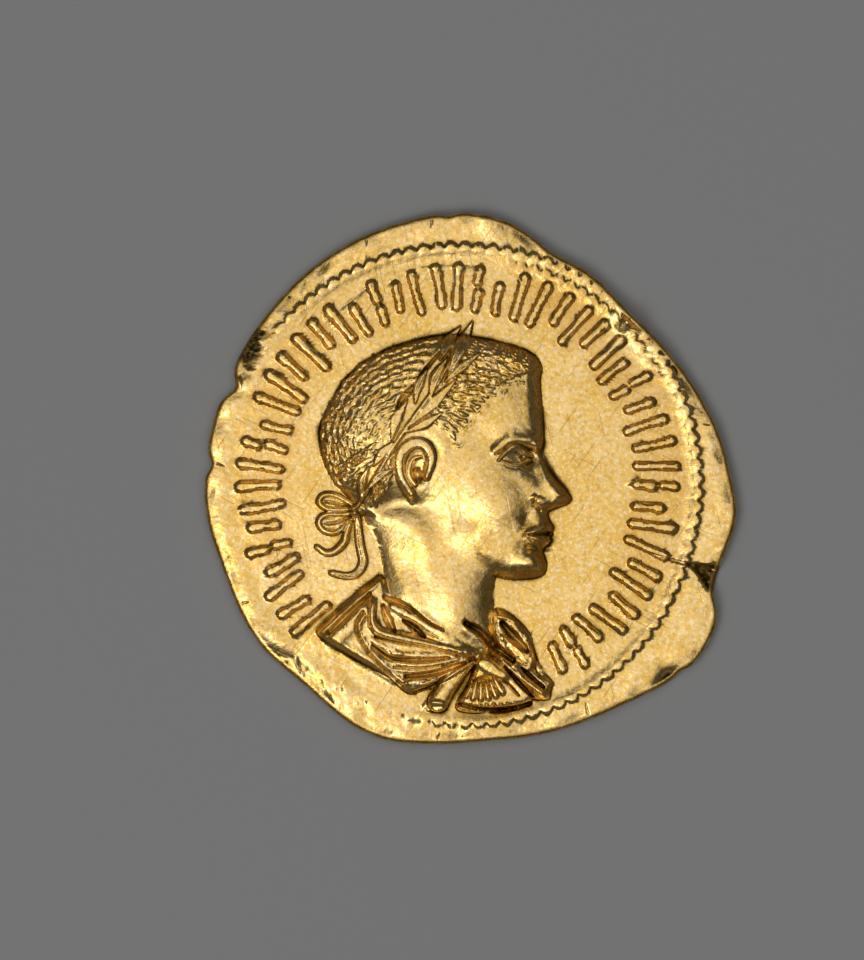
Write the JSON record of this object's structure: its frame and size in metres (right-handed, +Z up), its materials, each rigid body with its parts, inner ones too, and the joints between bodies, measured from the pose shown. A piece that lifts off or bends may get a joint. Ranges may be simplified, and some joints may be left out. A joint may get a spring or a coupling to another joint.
{
  "type": "ancient gold coin",
  "caption": "Hand-struck gold coin with an uneven hammered edge, a laurelled and draped bust in relief, and a standing figure on the back.",
  "frame": {"origin": "middle of the underside of the coin, lying on its reverse", "axes": "+Z up, out of the obverse with the bust; +Y towards the crown of the head; +X the way the bust faces"},
  "size_m": [0.021, 0.021, 0.0019],
  "materials": {
    "gold": "hand-struck gold, worn bright on the high points"
  },
  "bodies": {
    "root": {"coin": "gold"}
  },
  "joints": []
}
